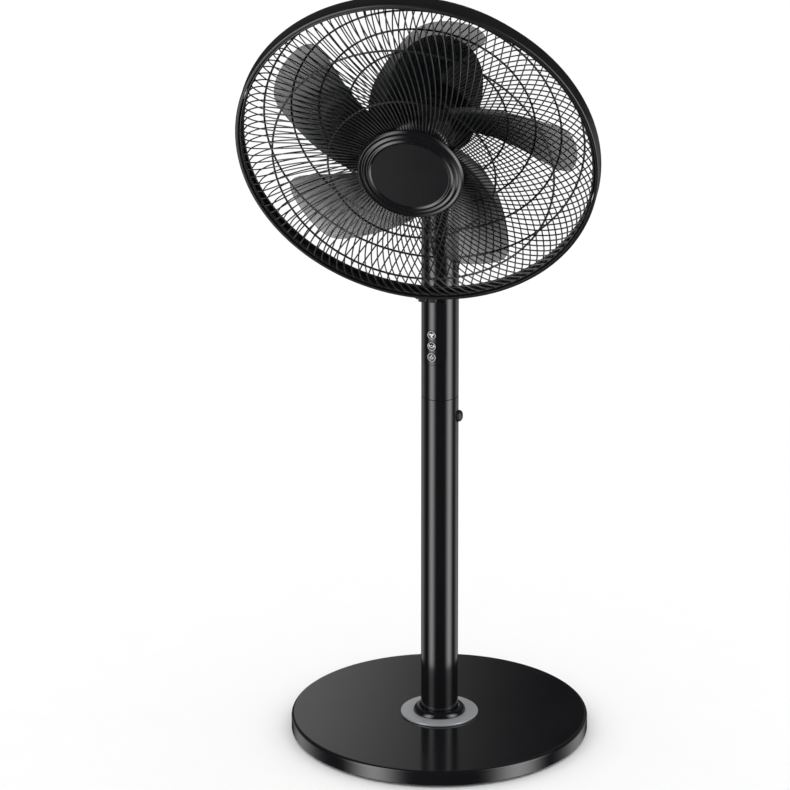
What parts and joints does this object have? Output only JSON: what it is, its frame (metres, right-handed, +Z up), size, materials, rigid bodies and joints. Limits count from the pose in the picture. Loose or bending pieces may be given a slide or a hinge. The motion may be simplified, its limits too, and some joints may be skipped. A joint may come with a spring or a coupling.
{
  "type": "pedestal fan",
  "caption": "Pedestal fan: round weighted base, telescopic column with a button panel, swivel and tilt neck, caged impeller with smoke-tinted blades and a round front badge.",
  "frame": {"origin": "on the floor under the column axis, on the underside of the centre foot", "axes": "+Z up along the column; the head faces -Y at rest, with its tilt pivot along X"},
  "size_m": [0.435, 0.4051, 1.0154],
  "materials": {
    "gloss_black": "gloss",
    "satin_black": "satin",
    "black_wire": "satin powder coat",
    "gunmetal": "satin",
    "steel": "plain",
    "cast_weight": "as cast",
    "rubber": "matt",
    "nylon": "moulded",
    "smoke_blades": "smoke tinted, gloss",
    "icon_buttons": "printed symbols on light grey caps",
    "board": "solder mask",
    "copper": "enamelled copper wire"
  },
  "bodies": {
    "base": {"base_cover": "gloss_black", "base_plate": "satin_black", "base_weight": "cast_weight", "centre_foot": "rubber", "foot_pad_1": "rubber", "foot_pad_2": "rubber", "foot_pad_3": "rubber", "foot_pad_4": "rubber", "foot_pad_5": "rubber", "foot_pad_6": "rubber", "column_plug": "steel", "anchor_washer": "steel", "anchor_nut": "steel", "foot_ring": "gunmetal", "foot_collar": "gloss_black", "lower_tube": "gloss_black", "guide_bush": "nylon", "lock_spring": "steel"},
    "lock": {"lock_button": "satin_black"},
    "mast": {"inner_pole": "steel", "pole_glide": "nylon", "pole_socket": "nylon", "control_tube": "gloss_black", "cord_gland": "rubber", "control_panel": "gloss_black", "control_board": "board", "oscillation_motor": "steel", "motor_carrier": "nylon", "swivel_bush": "nylon", "tube_cap": "satin_black"},
    "power_key": {"power_button": "icon_buttons"},
    "oscillation_key": {"oscillation_button": "icon_buttons"},
    "speed_key": {"speed_button": "icon_buttons"},
    "pinion": {"drive_pinion": "nylon"},
    "swivel": {"swivel_spindle": "steel", "swivel_gear": "nylon", "neck": "satin_black", "tilt_bolt": "steel"},
    "knob": {"tilt_knob": "satin_black"},
    "head": {"tilt_lug": "steel", "motor_cover": "satin_black", "motor_front_plate": "satin_black", "motor_stator": "steel", "front_winding": "copper", "rear_winding": "copper", "rear_bearing": "steel", "front_bearing": "steel", "rear_grille": "black_wire", "grille_nut": "satin_black", "front_grille": "black_wire", "badge_back": "satin_black", "badge": "gloss_black", "rim_band": "gloss_black", "rim_latch": "satin_black", "rim_screw": "steel", "top_clip": "satin_black"},
    "rotor": {"motor_rotor": "steel", "motor_shaft": "steel", "impeller": "smoke_blades", "spinner_nut": "satin_black"}
  },
  "joints": [
    {"name": "height_slide", "type": "slide", "parent": "base", "child": "mast", "axis": [0, 0, 1], "range_m": [0, 0.22]},
    {"name": "lock_press", "type": "slide", "parent": "base", "child": "lock", "axis": [-1, 0, 0], "range_m": [0, 0.0022], "stiffness_N_per_m": 700, "deforming": ["lock_spring"]},
    {"name": "power_press", "type": "slide", "parent": "mast", "child": "power_key", "axis": [0.2588, 0.9659, 0], "range_m": [0, 0.0012], "stiffness_N_per_m": 600},
    {"name": "oscillation_press", "type": "slide", "parent": "mast", "child": "oscillation_key", "axis": [0.2588, 0.9659, 0], "range_m": [0, 0.0012], "stiffness_N_per_m": 600},
    {"name": "speed_press", "type": "slide", "parent": "mast", "child": "speed_key", "axis": [0.2588, 0.9659, 0], "range_m": [0, 0.0012], "stiffness_N_per_m": 600},
    {"name": "head_oscillate", "type": "hinge", "parent": "mast", "child": "swivel", "pos_m": [0, 0, 0.62], "axis": [0, 0, 1], "range_deg": [-55, 25]},
    {"name": "pinion_turn", "type": "hinge", "parent": "mast", "child": "pinion", "pos_m": [0, 0.0132, 0.62], "axis": [0, 0, 1], "range_deg": [-57, 124]},
    {"name": "head_tilt", "type": "hinge", "parent": "swivel", "child": "head", "pos_m": [0, 0, 0.77], "axis": [-1, 0, 0], "range_deg": [0, 35]},
    {"name": "tilt_knob_turn", "type": "hinge", "parent": "swivel", "child": "knob", "pos_m": [0.02, 0, 0.77], "axis": [1, 0, 0], "range_deg": [0, 270]},
    {"name": "fan_spin", "type": "hinge", "parent": "head", "child": "rotor", "pos_m": [0, -0.02193, 0.84172], "axis": [0, -0.9563, -0.2924], "continuous": true}
  ],
  "couplings": [
    {"joint": "pinion_turn", "follows": "head_oscillate", "ratio": -2.25}
  ]
}
